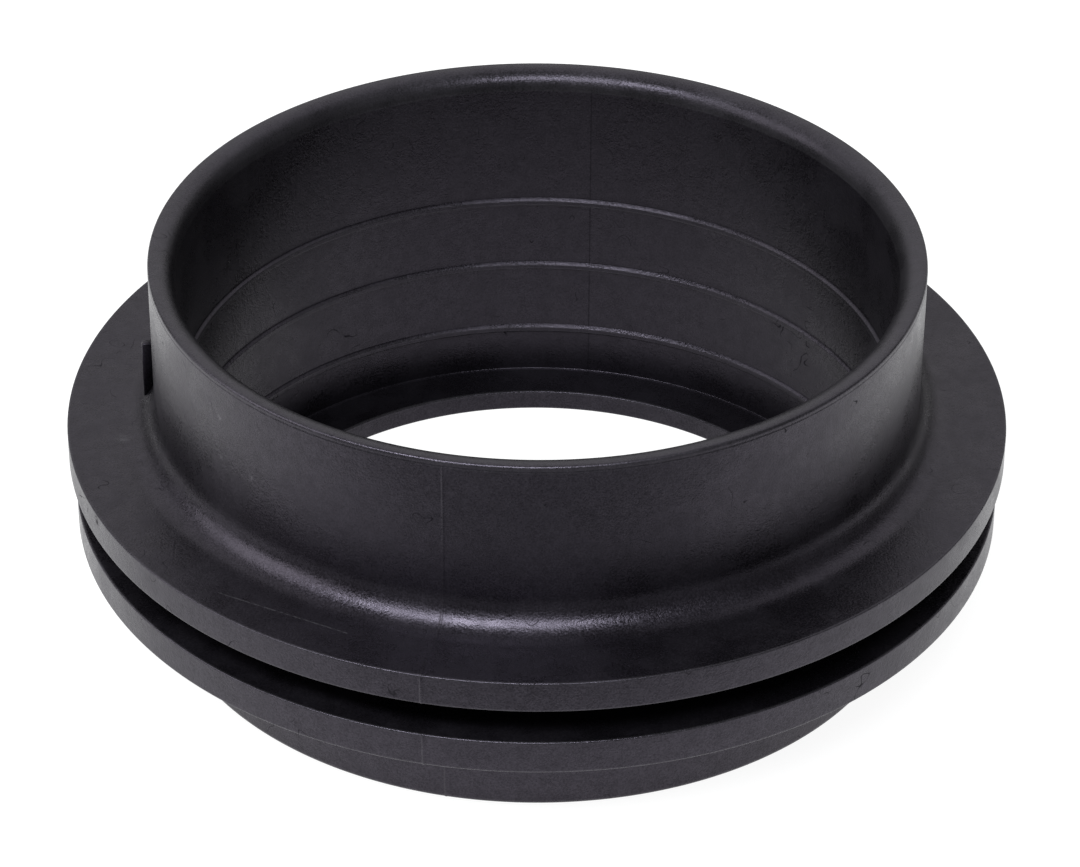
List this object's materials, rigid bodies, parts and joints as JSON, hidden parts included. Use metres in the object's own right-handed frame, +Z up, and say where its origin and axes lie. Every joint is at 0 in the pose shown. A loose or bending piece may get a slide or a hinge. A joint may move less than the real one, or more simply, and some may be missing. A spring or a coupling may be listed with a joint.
{
  "type": "toilet flange seal",
  "caption": "Black rubber pipe seal with a tall collar, three low ribs in its bore, two flanges with a panel groove between them, and a short spigot with a pipe stop.",
  "frame": {"origin": "on the axis, at the spigot's lower face", "axes": "+Z up along the axis, from the spigot to the collar; -X points to the small lug on the collar"},
  "size_m": [0.118, 0.118, 0.0489],
  "materials": {
    "rubber": "satin moulded black rubber"
  },
  "bodies": {
    "root": {"upper_collar": "rubber", "collar_fillet": "rubber", "upper_flange": "rubber", "panel_neck": "rubber", "lower_flange": "rubber", "lower_spigot": "rubber", "sealing_ribs": "rubber", "index_lug": "rubber"}
  },
  "joints": []
}
